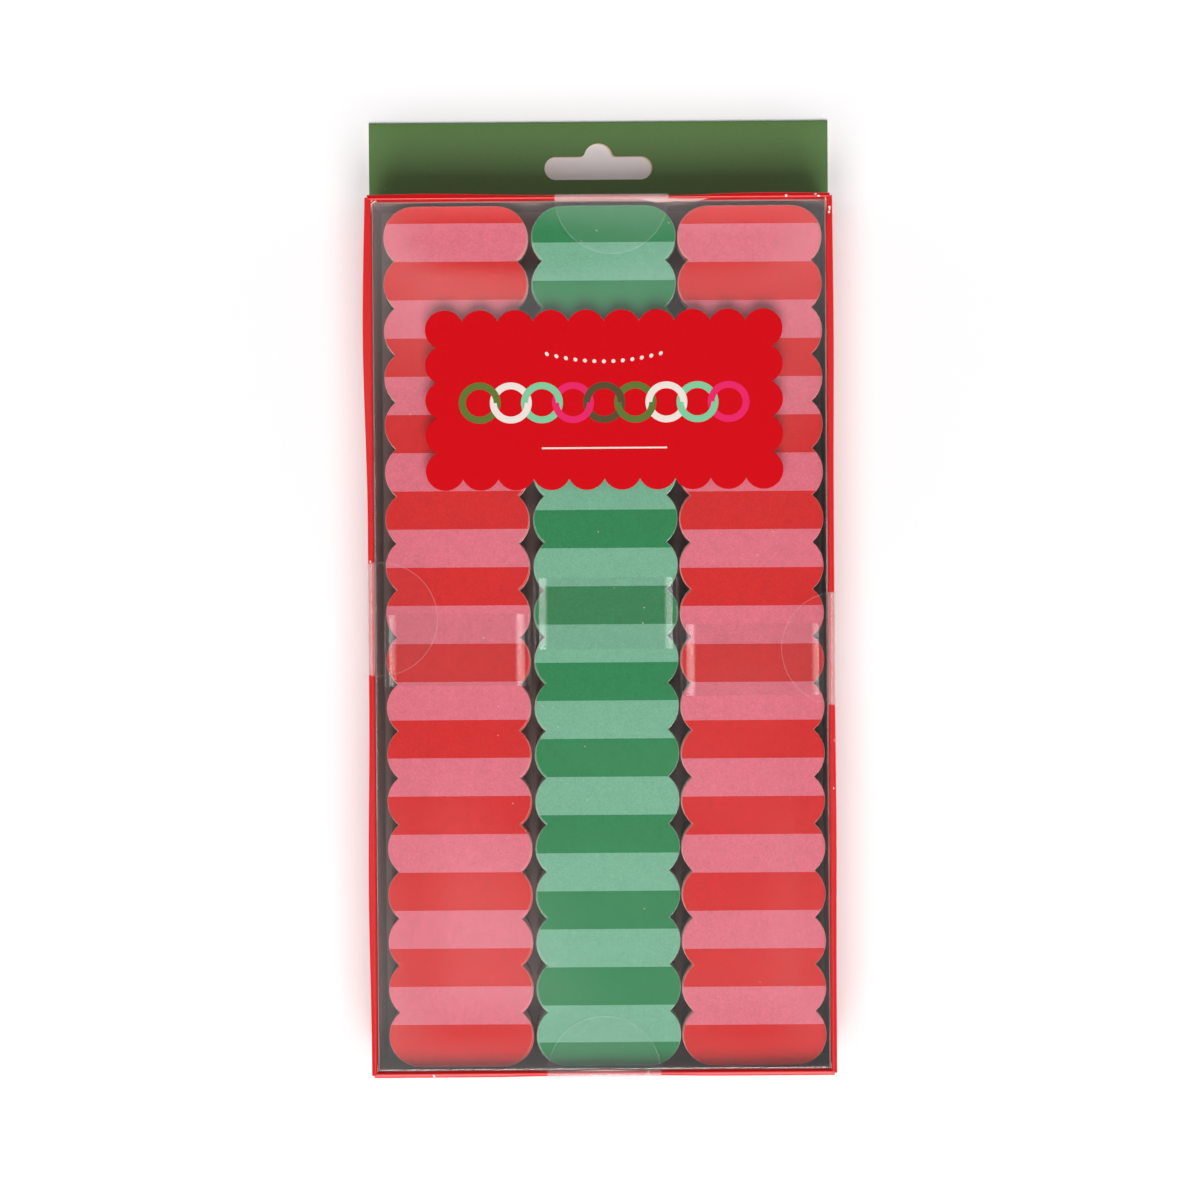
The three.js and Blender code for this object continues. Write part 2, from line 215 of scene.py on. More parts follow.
def raise_outline(height):
    """Gives a filled outline its thickness and turns its faces outward."""
    close_outline()
    go(0, 0, height)
    take_all()
    bpy.ops.mesh.normals_make_consistent(inside=False)


def apply_modifier(piece, kind, **settings):
    take(piece)
    modifier = piece.modifiers.new(kind.lower(), kind)
    for key, value in settings.items():
        setattr(modifier, key, value)
    bpy.ops.object.modifier_apply(modifier=modifier.name)


def smooth(piece, degrees=35):
    take(piece)
    bpy.ops.object.shade_smooth_by_angle(angle=math.radians(degrees))


def join(pieces, name):
    take(pieces[0])
    for piece in pieces:
        piece.select_set(True)
    bpy.ops.object.join()
    joined = bpy.context.object
    joined.name = name
    joined.data.name = name
    return joined


def dress(piece, *materials):
    """Gives a piece its materials, in slot order."""
    piece.data.materials.clear()
    for material in materials:
        piece.data.materials.append(material)


def paint(piece, slot, test):
    """Puts a material slot on each face whose middle and normal pass a test."""
    for face in piece.data.polygons:
        if test(face.center, face.normal):
            face.material_index = slot


def nudge(place, move, reach):
    """Moves all near a place, less the further away it is, as by hand with a soft brush."""
    piece = bpy.context.edit_object
    bpy.ops.mesh.select_mode(type="VERT")
    bpy.ops.mesh.select_all(action="DESELECT")
    mesh = bmesh.from_edit_mesh(piece.data)
    at = Vector(place)
    shown = [v for v in mesh.verts if not v.hide]
    min(shown, key=lambda v: (v.co - at).length).select_set(True)
    bmesh.update_edit_mesh(piece.data)
    bpy.ops.transform.translate(
        value=move,
        use_proportional_edit=True,
        proportional_edit_falloff="SMOOTH",
        proportional_size=reach,
    )


def set_piece(piece, slot, *nodes):
    """Rides a finished piece on the object in place of its CAD nodes. The slot is not used."""
    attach(piece, "root")
    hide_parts(*nodes)


# Node helpers.

def new_group(name, inputs, outputs):
    """A shader node group with its named sockets: inputs are (name, kind, default)."""
    group = bpy.data.node_groups.new(name, "ShaderNodeTree")
    for title, kind, value in inputs:
        socket = group.interface.new_socket(title, in_out="INPUT", socket_type=kind)
        if value is not None:
            socket.default_value = value
    for title, kind in outputs:
        group.interface.new_socket(title, in_out="OUTPUT", socket_type=kind)
    return group, group.nodes.new("NodeGroupInput"), group.nodes.new("NodeGroupOutput")


def link(tree, source, target):
    tree.links.new(source, target)


def feed(tree, target, value):
    """Links a socket, or sets a plain value."""
    if isinstance(value, bpy.types.NodeSocket):
        tree.links.new(value, target)
    else:
        target.default_value = value


def maths(tree, operation, a, b=0.0, c=0.0):
    node = tree.nodes.new("ShaderNodeMath")
    node.operation = operation
    for socket, value in zip(node.inputs, (a, b, c)):
        feed(tree, socket, value)
    return node.outputs[0]


def blend(tree, factor, a, b):
    node = tree.nodes.new("ShaderNodeMix")
    node.data_type = "RGBA"
    feed(tree, node.inputs[0], factor)
    feed(tree, node.inputs[6], a)
    feed(tree, node.inputs[7], b)
    return node.outputs[2]


def remap(tree, value, low, high, to_low=0.0, to_high=1.0):
    node = tree.nodes.new("ShaderNodeMapRange")
    feed(tree, node.inputs["Value"], value)
    for title, bound in zip(
        ("From Min", "From Max", "To Min", "To Max"), (low, high, to_low, to_high)
    ):
        feed(tree, node.inputs[title], bound)
    return node.outputs["Result"]


def noise(tree, place, scale, detail=2.0, roughness=0.5):
    node = tree.nodes.new("ShaderNodeTexNoise")
    feed(tree, node.inputs["Vector"], place)
    node.inputs["Scale"].default_value = scale
    node.inputs["Detail"].default_value = detail
    node.inputs["Roughness"].default_value = roughness
    return node.outputs["Fac"]


def distance(tree, across, along):
    """How far a point is from a middle, given how far it is from it either way."""
    squares = [maths(tree, "POWER", maths(tree, "ABSOLUTE", off), 2) for off in (across, along)]
    return maths(tree, "SQRT", maths(tree, "ADD", *squares))


def waver(tree, place, scale, detail, reach):
    """Noise about nought, to make a straight limit uneven."""
    centred = maths(tree, "SUBTRACT", noise(tree, place, scale, detail), 0.5)
    return maths(tree, "MULTIPLY", centred, reach)


def object_place(tree):
    return tree.nodes.new("ShaderNodeTexCoord").outputs["Object"]


def split(tree, vector):
    node = tree.nodes.new("ShaderNodeSeparateXYZ")
    link(tree, vector, node.inputs[0])
    return node.outputs


def bump(tree, height, strength, distance):
    node = tree.nodes.new("ShaderNodeBump")
    feed(tree, node.inputs["Height"], height)
    node.inputs["Strength"].default_value = strength
    node.inputs["Distance"].default_value = distance
    return node.outputs["Normal"]


def use_group(tree, group, **values):
    """Places a group, with its inputs given by name, spaces written as underscores."""
    node = tree.nodes.new("ShaderNodeGroup")
    node.node_tree = group
    for title, value in values.items():
        feed(tree, node.inputs[title.replace("_", " ")], value)
    return node.outputs


def rgb(red, green, blue):
    """A colour given as on screen, 0 to 255, for a socket."""
    parts = [part / 255 for part in (red, green, blue)]
    linear = [p / 12.92 if p <= 0.04045 else ((p + 0.055) / 1.055) ** 2.4 for p in parts]
    return (*linear, 1.0)


def new_material(name, **sockets):
    """A material with one Principled shader whose plain values are set on its own sockets."""
    material = bpy.data.materials.new(name)
    material.use_nodes = True
    shader = material.node_tree.nodes["Principled BSDF"]
    for title, value in sockets.items():
        shader.inputs[title.replace("_", " ")].default_value = value
    return material, material.node_tree, shader


# Effects that several finishes share.

def make_paper_grain():
    """Fine mottling and fibres of uncoated paper, with sparse coloured flecks."""
    group, given, out = new_group(
        "paper_grain",
        [
            ("Place", "NodeSocketVector", None),
            ("Colour", "NodeSocketColor", (1, 1, 1, 1)),
            ("Mottle", "NodeSocketFloat", 0.1),
            ("Flecks", "NodeSocketFloat", 0.3),
        ],
        [("Colour", "NodeSocketColor"), ("Height", "NodeSocketFloat")],
    )
    place = given.outputs["Place"]
    fine = noise(group, place, 2600, 3, 0.6)
    coarse = noise(group, place, 420, 4, 0.65)
    spread = maths(group, "MULTIPLY_ADD", fine, 0.72, maths(group, "MULTIPLY", coarse, 0.28))
    centred = maths(group, "SUBTRACT", spread, 0.5)
    depth = maths(group, "MULTIPLY", given.outputs["Mottle"], 4.0)
    tone = maths(group, "MULTIPLY_ADD", centred, depth, 1.0)
    shaded = group.nodes.new("ShaderNodeVectorMath")
    shaded.operation = "SCALE"
    link(group, given.outputs["Colour"], shaded.inputs[0])
    link(group, tone, shaded.inputs["Scale"])
    cells = group.nodes.new("ShaderNodeTexVoronoi")
    link(group, place, cells.inputs["Vector"])
    cells.inputs["Scale"].default_value = 260
    dot = maths(group, "LESS_THAN", cells.outputs["Distance"], 0.048)
    chosen = split(group, cells.outputs["Color"])
    rare = maths(group, "GREATER_THAN", chosen[0], 0.78)
    fleck = maths(group, "MULTIPLY", maths(group, "MULTIPLY", dot, rare), given.outputs["Flecks"])
    warm = blend(group, chosen[1], rgb(245, 190, 110), rgb(250, 225, 200))
    result = blend(group, fleck, shaded.outputs[0], warm)
    link(group, result, out.inputs["Colour"])
    link(group, spread, out.inputs["Height"])
    return group


def make_fold_wear():
    """Pale scuffs where print has rubbed off the raised edges of folded card."""
    group, given, out = new_group(
        "fold_wear",
        [
            ("Place", "NodeSocketVector", None),
            ("Print", "NodeSocketColor", (1, 0, 0, 1)),
            ("Board", "NodeSocketColor", (1, 1, 1, 1)),
            ("Edge Height", "NodeSocketFloat", 0.02),
            ("Amount", "NodeSocketFloat", 0.5),
        ],
        [("Colour", "NodeSocketColor"), ("Worn", "NodeSocketFloat")],
    )
    place = given.outputs["Place"]
    x, y, z = split(group, place)
    below = maths(group, "SUBTRACT", z, given.outputs["Edge Height"])
    near = remap(group, below, -0.9 * MM, 0.0)
    patches = noise(group, place, 190, 5, 0.7)
    where = noise(group, place, 23, 1, 0.5)
    limit = maths(group, "SUBTRACT", 1.06, maths(group, "MULTIPLY", given.outputs["Amount"], 0.5))
    both = maths(group, "MULTIPLY_ADD", patches, 0.55, maths(group, "MULTIPLY", where, 0.75))
    scuff = remap(group, maths(group, "SUBTRACT", both, limit), -0.015, 0.015)
    rubbed = maths(group, "MULTIPLY", maths(group, "MULTIPLY", scuff, near), 0.85)
    on_rim = maths(group, "GREATER_THAN", z, RIM_Z - 2 * MM)
    ragged = waver(group, place, 1300, 3, 1.5 * MM)
    worn = rubbed
    for chip_x, chip_y, size in RIM_CHIPS:
        off = distance(
            group, maths(group, "SUBTRACT", x, chip_x), maths(group, "SUBTRACT", y, chip_y)
        )
        chip = maths(group, "LESS_THAN", maths(group, "ADD", off, ragged), size)
        worn = maths(group, "MAXIMUM", worn, maths(group, "MULTIPLY", chip, on_rim))
    colour = blend(group, worn, given.outputs["Print"], given.outputs["Board"])
    link(group, colour, out.inputs["Colour"])
    link(group, worn, out.inputs["Worn"])
    return group


paper_grain = make_paper_grain()
fold_wear = make_fold_wear()


# Finishes.

def printed_card(name, colour, edge_height, wear, roughness=0.33, mottle=0.03):
    material, tree, shader = new_material(name, Roughness=roughness, Specular_IOR_Level=0.45)
    place = object_place(tree)
    worn = use_group(
        tree, fold_wear, Place=place, Print=colour, Board=rgb(238, 226, 214),
        Edge_Height=edge_height, Amount=wear,
    )
    grained = use_group(
        tree, paper_grain, Place=place, Colour=worn["Colour"], Mottle=mottle, Flecks=0.2
    )
    link(tree, grained["Colour"], shader.inputs["Base Color"])
    rough = maths(tree, "MULTIPLY_ADD", worn["Worn"], 0.4, roughness)
    link(tree, rough, shader.inputs["Roughness"])
    link(tree, bump(tree, grained["Height"], 0.25, 0.03 * MM), shader.inputs["Normal"])
    return material


def plain_board(name, colour, mottle, bumpiness=0.35):
    material, tree, shader = new_material(name, Roughness=0.85)
    place = object_place(tree)
    grained = use_group(
        tree, paper_grain, Place=place, Colour=colour, Mottle=mottle, Flecks=0.15
    )
    link(tree, grained["Colour"], shader.inputs["Base Color"])
    link(tree, bump(tree, grained["Height"], bumpiness, 0.05 * MM), shader.inputs["Normal"])
    return material


def make_stripes():
    """Two colours in turn down Y in stripes of one width, with the dark one at both ends."""
    group, given, out = new_group(
        "cross_stripes",
        [
            ("Place", "NodeSocketVector", None),
            ("Top", "NodeSocketFloat", 0.0),
            ("Bottom", "NodeSocketFloat", 0.0),
            ("First", "NodeSocketFloat", 0.01),
            ("Dark", "NodeSocketColor", (1, 0, 0, 1)),
            ("Light", "NodeSocketColor", (1, 1, 1, 1)),
        ],
        [("Colour", "NodeSocketColor")],
    )
    place = given.outputs["Place"]
    y = maths(group, "ADD", split(group, place)[1], waver(group, place, 900, 2, 0.12 * MM))
    from_top = maths(group, "SUBTRACT", given.outputs["Top"], y)
    down = maths(group, "SUBTRACT", from_top, given.outputs["First"])
    turns = maths(group, "FRACT", maths(group, "DIVIDE", down, 2 * STRIPE))
    light = maths(group, "LESS_THAN", turns, 0.5)
    last = maths(group, "ADD", given.outputs["Bottom"], STRIPE * 0.6)
    above_end = maths(group, "GREATER_THAN", y, last)
    below_start = maths(group, "GREATER_THAN", down, 0.0)
    share = maths(group, "MULTIPLY", maths(group, "MULTIPLY", light, above_end), below_start)
    colour = blend(group, share, given.outputs["Dark"], given.outputs["Light"])
    link(group, colour, out.inputs["Colour"])
    return group


cross_stripes = make_stripes()

DESIGNS = {
    "red": {"dark": rgb(218, 41, 41), "light": rgb(229, 119, 137), "first": 4.5 * MM,
            "edge": rgb(240, 186, 180)},
    "green": {"dark": rgb(48, 136, 84), "light": rgb(124, 184, 154), "first": 9.7 * MM,
              "edge": rgb(186, 218, 198)},
}


def striped_paper(name, design, shift=0.0):
    look = DESIGNS[design]
    middle = BOX_Y + shift
    material, tree, shader = new_material(name, Roughness=0.8, Specular_IOR_Level=0.12)
    place = object_place(tree)
    stripes = use_group(
        tree, cross_stripes, Place=place, Top=middle + STRIP_HALF_L, Bottom=middle - STRIP_HALF_L,
        First=look["first"], Dark=look["dark"], Light=look["light"],
    )
    grained = use_group(
        tree, paper_grain, Place=place, Colour=stripes["Colour"], Mottle=0.2, Flecks=0.7
    )
    link(tree, grained["Colour"], shader.inputs["Base Color"])
    link(tree, bump(tree, grained["Height"], 0.4, 0.04 * MM), shader.inputs["Normal"])
    return material


def clear_sheet(name, tint, gloss_roughness, haze, strength=1.0):
    """Thin clear film: what lies behind shows through, with a reflection that grows at a slant."""
    material, tree, shader = new_material(
        name, Base_Color=(0.95, 0.96, 0.97, 1), Roughness=gloss_roughness, Metallic=1.0
    )
    through = tree.nodes.new("ShaderNodeBsdfTransparent")
    through.inputs["Color"].default_value = (*tint, 1)
    facing = tree.nodes.new("ShaderNodeNewGeometry").outputs["Backfacing"]
    fresnel = tree.nodes.new("ShaderNodeFresnel")
    index = maths(tree, "MULTIPLY_ADD", facing, 1 / FILM_IOR - FILM_IOR, FILM_IOR)
    link(tree, index, fresnel.inputs["IOR"])
    capped = maths(tree, "MINIMUM", fresnel.outputs[0], MOST_GLOSS)
    gloss = maths(tree, "MULTIPLY", capped, strength)
    film = tree.nodes.new("ShaderNodeMixShader")
    link(tree, gloss, film.inputs[0])
    link(tree, through.outputs[0], film.inputs[1])
    link(tree, shader.outputs[0], film.inputs[2])
    veil = tree.nodes.new("ShaderNodeBsdfDiffuse")
    veil.inputs["Color"].default_value = (0.93, 0.93, 0.93, 1)
    mixed = tree.nodes.new("ShaderNodeMixShader")
    mixed.inputs[0].default_value = haze
    link(tree, film.outputs[0], mixed.inputs[1])
    link(tree, veil.outputs[0], mixed.inputs[2])
    link(tree, mixed.outputs[0], tree.nodes["Material Output"].inputs["Surface"])
    return material


def veil_share(material):
    """The socket that says how milky a clear sheet is."""
    surface = material.node_tree.nodes["Material Output"].inputs["Surface"]
    return surface.links[0].from_node.inputs[0]


def past_panel(tree, x, y):
    """How far a point is outside the lid's panel, and less than nought where it is inside."""
    across = maths(tree, "SUBTRACT", maths(tree, "ABSOLUTE", x), lid_high.x)
    from_middle = maths(tree, "ABSOLUTE", maths(tree, "SUBTRACT", y, BOX_Y))
    along = maths(tree, "SUBTRACT", from_middle, (lid_high.y - lid_low.y) / 2)
    return maths(tree, "MAXIMUM", across, along)


def whiten_folds_and_paint_highlight(material):
    """Stress-whitens the film along the folds round the lid's panel, and so paints in the light
    line of the folds' highlight.
    """
    tree = material.node_tree
    share = veil_share(material)
    x, y, z = split(tree, object_place(tree))
    near = remap(tree, past_panel(tree, x, y), -0.4 * MM, -0.2 * MM)
    high = maths(tree, "GREATER_THAN", z, lid_high.z - 0.7 * MM)
    uneven = remap(tree, noise(tree, object_place(tree), 60, 3), 0.35, 0.65, 0.1, 0.3)
    # Painted highlight in part: this mask whitens the fold bevel, partly as stress-whitening and
    # partly as a painted light line along the folds.
    fold = maths(tree, "MULTIPLY", maths(tree, "MULTIPLY", near, high), uneven)
    link(tree, maths(tree, "ADD", fold, share.default_value), share)


def seal_film(name, centre):
    """Clear sticker film, whitened where it is stretched over the rim, with a milky ring at its cut
    edge that is partly a painted highlight of the edge.
    """
    material = clear_sheet(name, (0.997, 0.997, 0.997), 0.1, 0.002, 0.3)
    tree = material.node_tree
    x, y, _ = split(tree, object_place(tree))
    radius = distance(
        tree, maths(tree, "SUBTRACT", x, centre.x), maths(tree, "SUBTRACT", y, centre.y)
    )
    # Painted highlight in part: a milky ring along the cut edge makes it show as a light line.
    edge = maths(tree, "MULTIPLY", maths(tree, "GREATER_THAN", radius, SEAL_R - 0.14 * MM), 0.1)
    over_rim = maths(tree, "GREATER_THAN", past_panel(tree, x, y), 0.0)
    mottle = remap(tree, noise(tree, object_place(tree), 300, 3), 0.3, 0.7, 0.14, 0.2)
    stretched = maths(tree, "MULTIPLY", over_rim, mottle)
    veil = maths(tree, "ADD", maths(tree, "MAXIMUM", edge, stretched), 0.003)
    link(tree, veil, veil_share(material))
    return material


def make_chain_print():
    """A row of plain linked rings in party colours, a dotted line above and a fine rule below."""
    group, given, out = new_group(
        "chain_print",
        [
            ("Place", "NodeSocketVector", None),
            ("Ground", "NodeSocketColor", (1, 0, 0, 1)),
        ],
        [("Colour", "NodeSocketColor")],
    )
    x, y, _ = split(group, given.outputs["Place"])
    pitch, rings = 8.2 * MM, 9
    half = pitch * rings / 2
    palette = [rgb(92, 112, 48), rgb(226, 214, 206), rgb(122, 192, 150), rgb(222, 36, 98),
               rgb(84, 72, 46)]
    low_y = maths(group, "ADD", y, 0.6 * MM)
    layers = []
    for first in (0, 1):
        from_first = maths(group, "ADD", x, half - pitch * (first - 0.5))
        spot = maths(group, "DIVIDE", from_first, 2 * pitch)
        cell = maths(group, "FLOOR", spot)
        number = maths(group, "MULTIPLY_ADD", cell, 2.0, float(first))
        centre = maths(group, "MULTIPLY_ADD", number, pitch, 0.5 * pitch - half)
        across = maths(group, "SUBTRACT", x, centre)
        radius = distance(
            group, maths(group, "DIVIDE", across, 4.6 * MM), maths(group, "DIVIDE", low_y, 4.5 * MM)
        )
        from_line = maths(group, "ABSOLUTE", maths(group, "SUBTRACT", radius, 1.0))
        ring = maths(group, "LESS_THAN", from_line, 0.2)
        known = maths(group, "MULTIPLY", maths(group, "GREATER_THAN", number, -0.5),
                      maths(group, "LESS_THAN", number, rings - 0.5))
        ramp = group.nodes.new("ShaderNodeValToRGB")
        ramp.color_ramp.interpolation = "CONSTANT"
        stops = ramp.color_ramp.elements
        stops.remove(stops[1])
        for i in range(rings):
            stop = stops.new(i / rings) if i else stops[0]
            stop.color = palette[i % len(palette)]
        link(group, maths(group, "DIVIDE", maths(group, "ADD", number, 0.5), rings), ramp.inputs[0])
        layers.append((maths(group, "MULTIPLY", ring, known), ramp.outputs[0]))
    upper = maths(group, "GREATER_THAN", low_y, 0.0)
    even, odd = layers
    ground = given.outputs["Ground"]
    even_over = blend(group, even[0], blend(group, odd[0], ground, odd[1]), even[1])
    odd_over = blend(group, odd[0], blend(group, even[0], ground, even[1]), odd[1])
    first = blend(group, upper, odd_over, even_over)
    swag = maths(group, "MULTIPLY_ADD", maths(group, "POWER", x, 2), 9.0, 10.2 * MM)
    along = maths(group, "PINGPONG", maths(group, "ADD", x, 40 * MM), 1.25 * MM)
    from_dot = distance(group, along, maths(group, "SUBTRACT", y, swag))
    dots = maths(group, "MULTIPLY", maths(group, "LESS_THAN", from_dot, 0.52 * MM),
                 maths(group, "LESS_THAN", maths(group, "ABSOLUTE", x), 15.6 * MM))
    from_rule = maths(group, "ABSOLUTE", maths(group, "SUBTRACT", y, -12.6 * MM))
    rule = maths(group, "MULTIPLY", maths(group, "LESS_THAN", from_rule, 0.22 * MM),
                 maths(group, "LESS_THAN", maths(group, "ABSOLUTE", x), 16.5 * MM))
    marks = maths(group, "MAXIMUM", dots, rule)
    link(group, blend(group, marks, first, rgb(228, 216, 208)), out.inputs["Colour"])
    return group


def label_paper():
    material, tree, shader = new_material("label_paper", Roughness=0.6, Specular_IOR_Level=0.08)
    centre = (label_low + label_high) / 2
    mapping = tree.nodes.new("ShaderNodeMapping")
    mapping.inputs["Location"].default_value = -centre
    place = object_place(tree)
    link(tree, place, mapping.inputs["Vector"])
    printed = use_group(
        tree, make_chain_print(), Place=mapping.outputs[0], Ground=rgb(202, 0, 14)
    )
    grained = use_group(
        tree, paper_grain, Place=place, Colour=printed["Colour"], Mottle=0.02, Flecks=0.0
    )
    link(tree, grained["Colour"], shader.inputs["Base Color"])
    link(tree, bump(tree, grained["Height"], 0.15, 0.02 * MM), shader.inputs["Normal"])
    return material


RED_PRINT = printed_card("red_printed_card", rgb(208, 6, 12), RIM_Z, 0.3)
GREEN_PRINT = printed_card("green_printed_card", rgb(86, 122, 64), 1.2 * MM, 0.0, 0.5, 0.09)
BARE_CARD = plain_board("bare_grey_card", rgb(206, 168, 164), 0.08)
RAW_EDGE = plain_board("raw_board_edge", rgb(226, 205, 184), 0.12)
PAPERS = {name: striped_paper(f"{name}_striped_paper", name) for name in DESIGNS}
PAPERS["low_red"] = striped_paper("low_red_striped_paper", "red", -0.5 * MM)
PAPER_EDGES = {
    name: plain_board(f"{name}_strip_edge", look["edge"], 0.06) for name, look in DESIGNS.items()
}
LID_FILM = clear_sheet("clear_lid_film", (0.985, 0.985, 0.98), 0.06, 0.003)
whiten_folds_and_paint_highlight(LID_FILM)
BAND_FILM = clear_sheet("clear_band_film", (0.995, 0.995, 0.995), 0.1, 0.008, 0.7)


# Tray, one folded sheet. The faces drawn here are its printed side, and its thickness goes inward.

def slot_cutter(shift, bottom, top):
    """A block in the outline of the hanging slot, for one of the tab's two layers."""
    y = BOX_Y + BOX_HALF_L + SLOT_ABOVE_WALL + SLOT_H / 2 - shift / 3
    half = SLOT_H / 2
    end = SLOT_W / 2 - half
    bump_y = y + half + SLOT_BUMP_RISE - SLOT_BUMP_R
    foot_y = y + half + SLOT_FILLET
    reach = SLOT_BUMP_R + SLOT_FILLET
    foot_x = math.sqrt(reach**2 - (foot_y - bump_y) ** 2)
    touch = math.degrees(math.atan2(foot_y - bump_y, foot_x))
    start_outline(end - shift, y - half, bottom)
    turn((end - shift, y, bottom), 180, 16)
    go(foot_x - end)
    turn((foot_x - shift, foot_y, bottom), touch - 90, 5)
    turn((-shift, bump_y, bottom), 180 - 2 * touch, 16)
    turn((-foot_x - shift, foot_y, bottom), touch - 90, 5)
    go(foot_x - end)
    turn((-end - shift, y, bottom), 180, 16)
    go(2 * end)
    raise_outline(top - bottom)
    return stop_edit("slot_cutter")


def bend(outward_x, outward_y, radius, turned_from, turned_to, steps):
    """Extrudes the selected edge round a crease: -90 degrees heads outward, 0 up and 90 back."""
    for i in range(steps):
        a = math.radians(turned_from + (turned_to - turned_from) * i / steps)
        b = math.radians(turned_from + (turned_to - turned_from) * (i + 1) / steps)
        out = radius * (math.cos(b) - math.cos(a))
        go(outward_x * out, outward_y * out, radius * (math.sin(b) - math.sin(a)))


def climb(outward_x, outward_y, start_z, lean, rim=WALL):
    """Extrudes the selected edge up a wall's outside, over its creased rim and down its inside."""
    crease_z = RIM_Z - RIM_TILT - CREASE_R
    rows = 4
    for _ in range(rows):
        go(0, 0, (crease_z - start_z) / rows)
    bend(outward_x, outward_y, CREASE_R, 0, 90, 4)
    flat = rim - 2 * CREASE_R
    for _ in range(2):
        go(-outward_x * flat / 2, -outward_y * flat / 2, RIM_TILT / 2)
    bend(outward_x, outward_y, CREASE_R, 90, 180, 4)
    go(0, 0, -PRINT_TURN_IN)
    rest = RIM_Z - CREASE_R - PRINT_TURN_IN - INNER_EDGE_Z
    for _ in range(rows):
        go(-outward_x * lean / rows, -outward_y * lean / rows, -rest / rows)


def fold_up(outward_x, outward_y, lean):
    """Extrudes the selected edge of the base round the fold at a wall's foot, and up the wall."""
    bend(outward_x, outward_y, FOLD_R, -90, 0, 4)
    climb(outward_x, outward_y, FOLD_R, lean)


def widen(share):
    bpy.ops.transform.resize(value=(share, 1, 1), center_override=(0, 0, 0))


def fold_tab():
    """Extrudes the base's top edge out as the tab's back, then over and back as its front."""
    fold_r = CARD + TAB_GAP / 2
    wall_y = BOX_HALF_L
    shoulder = 0.4 * MM
    go(0, FOLD_R + shoulder)
    widen(TAB_HALF / END_END)
    rows = 6
    run = TAB_TOP - fold_r - wall_y - shoulder
    for _ in range(rows):
        go(0, run / rows)
    bend(0, 1, fold_r, -90, 90, 8)
    for _ in range(rows):
        go(0, -run / rows)
    inner_r = 0.225 * MM
    go(0, inner_r - shoulder)
    widen(END_END / TAB_HALF)
    bend(0, -1, inner_r, -90, 0, 3)
    climb(0, 1, 2 * CARD + TAB_GAP + inner_r, TOP_LEAN, TOP_RIM)


def base_sheet():
    """The base with its four corners cut off at a slant, divided finely enough to bow."""
    deselect()
    bpy.ops.mesh.primitive_grid_add(x_subdivisions=24, y_subdivisions=46, size=1)
    bpy.ops.object.mode_set(mode="EDIT")
    take_all()
    size = (2 * (BOX_HALF_W - FOLD_R), 2 * (BOX_HALF_L - FOLD_R), 1)
    bpy.ops.transform.resize(value=size, center_override=(0, 0, 0))
    for side in (-1, 1):
        for place, normal in (
            ((side * END_END, 0, 0), (1, 0, 0)),
            ((0, side * SIDE_ENDS[side], 0), (0, 1, 0)),
        ):
            take_all()
            bpy.ops.mesh.bisect(plane_co=place, plane_no=normal, threshold=HAIR)
    near = 0.01 * MM
    side_x, end_y = BOX_HALF_W - FOLD_R, BOX_HALF_L - FOLD_R
    for right in (-1, 1):
        for top in (-1, 1):
            wall_end = SIDE_ENDS[top]
            pick(lambda p: p.x * right > END_END - near and p.y * top > wall_end - near, "FACE")
            slant = ((end_y - wall_end) * right, (side_x - END_END) * top, 0)
            bpy.ops.mesh.bisect(plane_co=(side_x * right, wall_end * top, 0), plane_no=slant,
                                clear_outer=True, threshold=0.02 * MM)
    take_all()
    bpy.ops.mesh.flip_normals()


def corner_web(right, top, inset):
    """The raw-edged web across one corner, with a tab held in the hollow of either wall."""
    side_x = BOX_HALF_W - WALL / 2
    end_y = BOX_HALF_L - WALL / 2
    wall_end = SIDE_ENDS[top]
    near_side = (BOX_HALF_W - 1.0 * MM - inset, wall_end + 0.7 * MM - inset / 2)
    near_end = (END_END + 0.1 * MM - inset / 2, BOX_HALF_L - 0.3 * MM - inset)
    start_outline((side_x - inset / 3) * right, (wall_end - 7 * MM) * top, CARD)
    path = [near_side, near_end, (END_END - 12 * MM, end_y - inset / 3)]
    x, y = side_x - inset / 3, wall_end - 7 * MM
    for next_x, next_y in path:
        if next_y == near_end[1] and right + top == 2:
            turn((x - WEB_CORNER_R, y, CARD), 90, 6)
            x, y = x - WEB_CORNER_R, y + WEB_CORNER_R
        go((next_x - x) * right, (next_y - y) * top)
        x, y = next_x, next_y
    bpy.ops.mesh.select_mode(type="EDGE")
    take_all()
    for _ in range(4):
        go(0, 0, (WEB_TOP - inset / 2 - CARD) / 4)
    if right * top > 0:
        take_all()
        bpy.ops.mesh.flip_normals()
    web = stop_edit("corner_web")
    dress(web, RED_PRINT, GREEN_PRINT, BARE_CARD, RAW_EDGE)
    apply_modifier(web, "SOLIDIFY", thickness=0.3 * MM, offset=0, use_even_offset=True,
                   material_offset=2, material_offset_rim=3)
    return web


